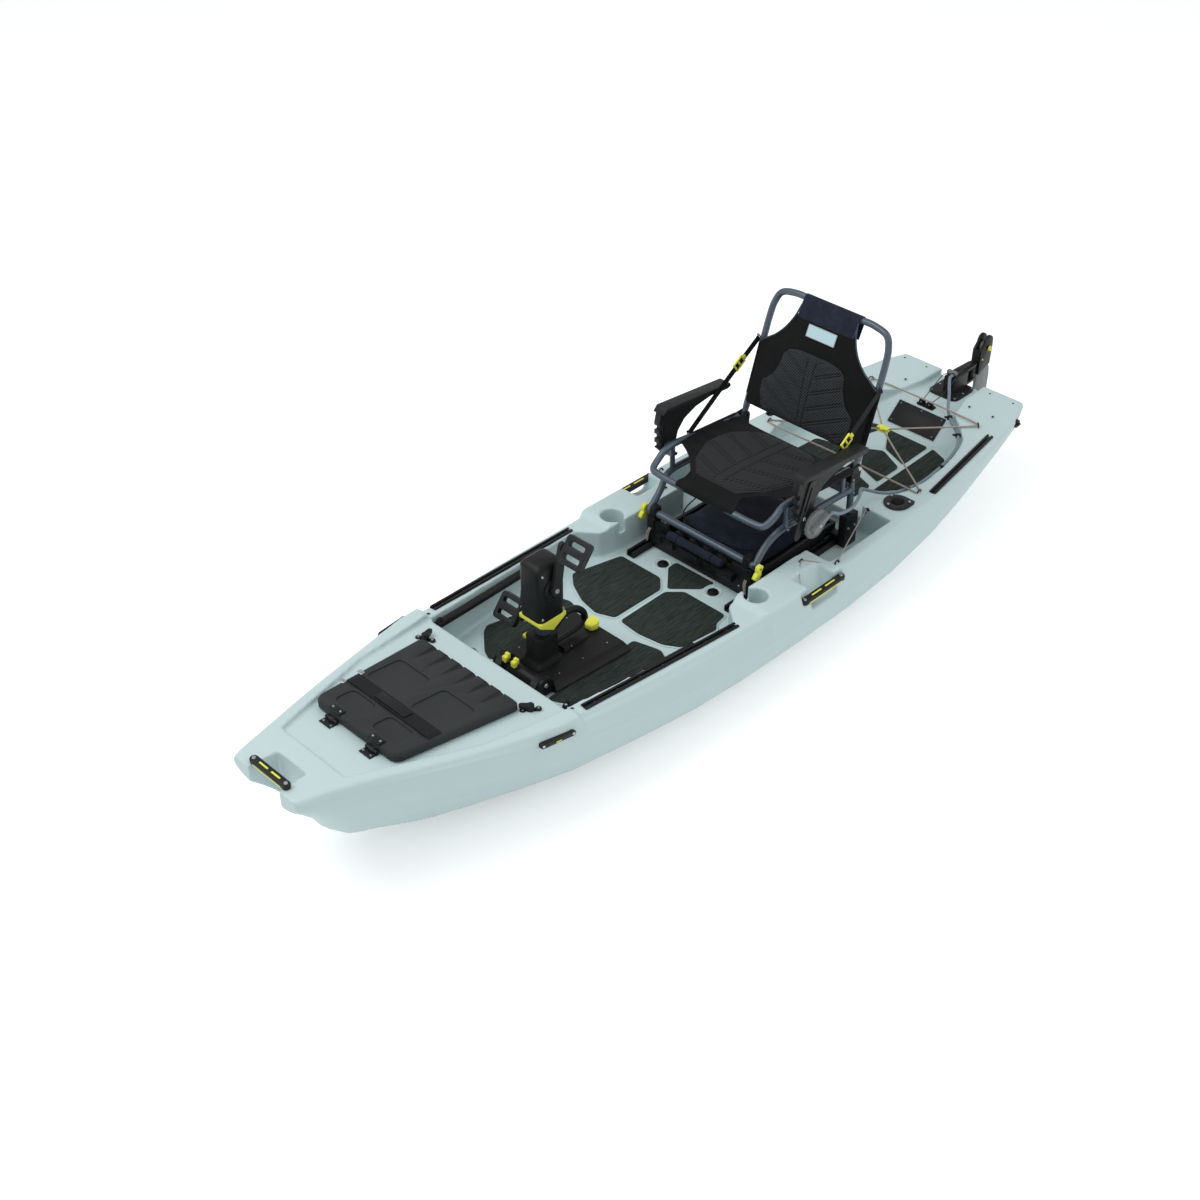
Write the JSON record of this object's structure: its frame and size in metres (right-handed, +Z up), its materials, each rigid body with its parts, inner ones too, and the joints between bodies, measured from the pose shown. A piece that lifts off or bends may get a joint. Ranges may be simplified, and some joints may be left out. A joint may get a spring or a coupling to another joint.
{
  "type": "pedal kayak",
  "caption": "Sit-on-top fishing kayak with a pedal drive, framed reclining seat, bow hatch, rear tankwell and a hand-steered rudder.",
  "frame": {"origin": "the flat keel below midships, where the hull stands", "axes": "bow along -Y, port +X, +Z up; the hull stands on z = 0, midships is y = 0"},
  "size_m": [0.83, 3.2149, 0.8978],
  "materials": {
    "hull_plastic": "pale grey-blue rotomoulded plastic, fine leather-like grain",
    "black_plastic": "black moulded plastic, fine grain",
    "charcoal_plastic": "charcoal glass-filled plastic, satin",
    "yellow_plastic": "bright yellow-green moulded plastic",
    "grey_plastic": "mid grey moulded plastic",
    "frame_aluminium": "slate blue-grey coated aluminium",
    "steel": "machined stainless steel",
    "navy_fabric": "woven navy fabric",
    "mesh_fabric": "black open mesh over foam",
    "webbing": "black woven webbing",
    "bungee_cord": "woven tan-grey shock cord"
  },
  "bodies": {
    "hull": {"hull": "hull_plastic", "bow_handle": "charcoal_plastic", "side_handle_port": "charcoal_plastic", "side_handle_starboard": "charcoal_plastic", "deck_rail_tube_port": "black_plastic", "deck_rail_tube_starboard": "black_plastic", "seat_rail_port": "frame_aluminium", "seat_rail_starboard": "frame_aluminium", "scupper_plug_port": "black_plastic", "scupper_plug_starboard": "black_plastic", "drain_plug": "black_plastic", "rod_holder": "charcoal_plastic", "electronics_cover": "black_plastic", "hatch_hinge_port": "charcoal_plastic", "hatch_hinge_starboard": "charcoal_plastic", "drive_base": "black_plastic", "drive_pivot_pin": "charcoal_plastic", "drive_column": "black_plastic", "drive_mast": "frame_aluminium", "drive_band": "yellow_plastic", "drive_head": "charcoal_plastic", "steering_cable_lead": "grey_plastic", "steering_cable_run": "grey_plastic", "rudder_base": "charcoal_plastic", "tankwell_bungee": "bungee_cord", "gear_track_front_port": "black_plastic", "gear_track_front_starboard": "black_plastic", "gear_track_rear_port": "black_plastic", "gear_track_rear_starboard": "black_plastic"},
    "hatch": {"hatch_lid": "charcoal_plastic", "hatch_strap": "webbing"},
    "crank": {"crank_axle": "steel", "crank_arm_port": "charcoal_plastic", "crank_arm_starboard": "charcoal_plastic"},
    "seat": {"seat_base": "black_plastic", "under_seat_bag": "navy_fabric", "pouch_roll": "navy_fabric", "seat_frame": "frame_aluminium", "seat_cushion": "mesh_fabric", "dial_bracket": "charcoal_plastic", "side_strap_port": "webbing", "side_strap_starboard": "webbing"},
    "back": {"back_frame": "frame_aluminium", "back_panel": "mesh_fabric"},
    "drive_shaft": {"drive_shaft": "steel"},
    "drive_latch": {"drive_latch": "yellow_plastic"},
    "lower_leg": {"lower_leg": "charcoal_plastic"},
    "propeller": {"propeller": "charcoal_plastic"},
    "steering_dial": {"steering_dial": "grey_plastic"},
    "rudder_head": {"rudder_head": "charcoal_plastic"},
    "rudder_blade": {"rudder_blade": "grey_plastic"},
    "hatch_clamp_port": {"hatch_clamp_port": "black_plastic"},
    "hatch_clamp_starboard": {"hatch_clamp_starboard": "black_plastic"},
    "pedal_port": {"pedal_port": "charcoal_plastic"},
    "pedal_starboard": {"pedal_starboard": "charcoal_plastic"},
    "armrest_port": {"armrest_port": "charcoal_plastic"},
    "armrest_starboard": {"armrest_starboard": "charcoal_plastic"},
    "seat_clamp_port": {"seat_clamp_port": "yellow_plastic"},
    "seat_clamp_starboard": {"seat_clamp_starboard": "yellow_plastic"}
  },
  "joints": [
    {"name": "hatch_hinge", "type": "hinge", "parent": "hull", "child": "hatch", "pos_m": [0, -1.247, 0.37878], "axis": [1, 0, 0], "range_deg": [0, 95]},
    {"name": "crank_turn", "type": "hinge", "parent": "hull", "child": "crank", "pos_m": [0, -0.556, 0.504], "axis": [1, 0, 0], "continuous": true},
    {"name": "pedal_turn_port", "type": "hinge", "parent": "crank", "child": "pedal_port", "pos_m": [0.109, -0.52918, 0.64344], "axis": [1, 0, 0], "continuous": true},
    {"name": "pedal_turn_starboard", "type": "hinge", "parent": "crank", "child": "pedal_starboard", "pos_m": [-0.109, -0.58282, 0.36456], "axis": [1, 0, 0], "continuous": true},
    {"name": "drive_shaft_turn", "type": "hinge", "parent": "hull", "child": "drive_shaft", "pos_m": [0, -0.556, 0.3], "axis": [0, 0, 1], "continuous": true},
    {"name": "lower_leg_swing", "type": "hinge", "parent": "hull", "child": "lower_leg", "pos_m": [0, -0.556, 0.07], "axis": [1, 0, 0], "range_deg": [0, 90]},
    {"name": "propeller_turn", "type": "hinge", "parent": "lower_leg", "child": "propeller", "pos_m": [0, -0.826, 0.035], "axis": [0, 0, 1], "continuous": true},
    {"name": "drive_latch_lift", "type": "hinge", "parent": "hull", "child": "drive_latch", "pos_m": [0, -0.34, 0.2323], "axis": [1, 0, 0], "range_deg": [-35, 0]},
    {"name": "seat_slide", "type": "slide", "parent": "hull", "child": "seat", "axis": [0, 1, 0], "range_m": [-0.08, 0.045], "deforming": ["steering_cable_lead"]},
    {"name": "back_recline", "type": "hinge", "parent": "seat", "child": "back", "pos_m": [0, 0.58, 0.466], "axis": [1, 0, 0], "range_deg": [-15, 12], "deforming": ["side_strap_port", "side_strap_starboard"]},
    {"name": "steering_dial_turn", "type": "hinge", "parent": "seat", "child": "steering_dial", "pos_m": [0.308, 0.285, 0.436], "axis": [1, 0, 0], "range_deg": [-60, 60]},
    {"name": "rudder_yaw", "type": "hinge", "parent": "hull", "child": "rudder_head", "pos_m": [0, 1.574, 0.31], "axis": [0, 0, 1], "range_deg": [-36, 36]},
    {"name": "rudder_blade_lift", "type": "hinge", "parent": "rudder_head", "child": "rudder_blade", "pos_m": [0, 1.637, 0.388], "axis": [1, 0, 0], "range_deg": [0, 110]},
    {"name": "hatch_clamp_turn_port", "type": "hinge", "parent": "hull", "child": "hatch_clamp_port", "pos_m": [0.217, -0.812, 0.33], "axis": [0, 0, 1], "range_deg": [-90, 90]},
    {"name": "armrest_lift_port", "type": "hinge", "parent": "seat", "child": "armrest_port", "pos_m": [0.278, 0.246, 0.464], "axis": [1, 0, 0], "range_deg": [0, 90]},
    {"name": "seat_clamp_turn_port", "type": "hinge", "parent": "seat", "child": "seat_clamp_port", "pos_m": [0.236, 0.12, 0.317], "axis": [1, 0, 0], "range_deg": [-80, 0]},
    {"name": "hatch_clamp_turn_starboard", "type": "hinge", "parent": "hull", "child": "hatch_clamp_starboard", "pos_m": [-0.217, -0.812, 0.33], "axis": [0, 0, 1], "range_deg": [-90, 90]},
    {"name": "armrest_lift_starboard", "type": "hinge", "parent": "seat", "child": "armrest_starboard", "pos_m": [-0.278, 0.246, 0.464], "axis": [1, 0, 0], "range_deg": [0, 90]},
    {"name": "seat_clamp_turn_starboard", "type": "hinge", "parent": "seat", "child": "seat_clamp_starboard", "pos_m": [-0.236, 0.12, 0.317], "axis": [1, 0, 0], "range_deg": [-80, 0]}
  ],
  "couplings": [
    {"joint": "drive_shaft_turn", "follows": "crank_turn", "ratio": -4},
    {"joint": "propeller_turn", "follows": "crank_turn", "ratio": 8},
    {"joint": "steering_dial_turn", "follows": "rudder_yaw", "ratio": 1.6667}
  ]
}
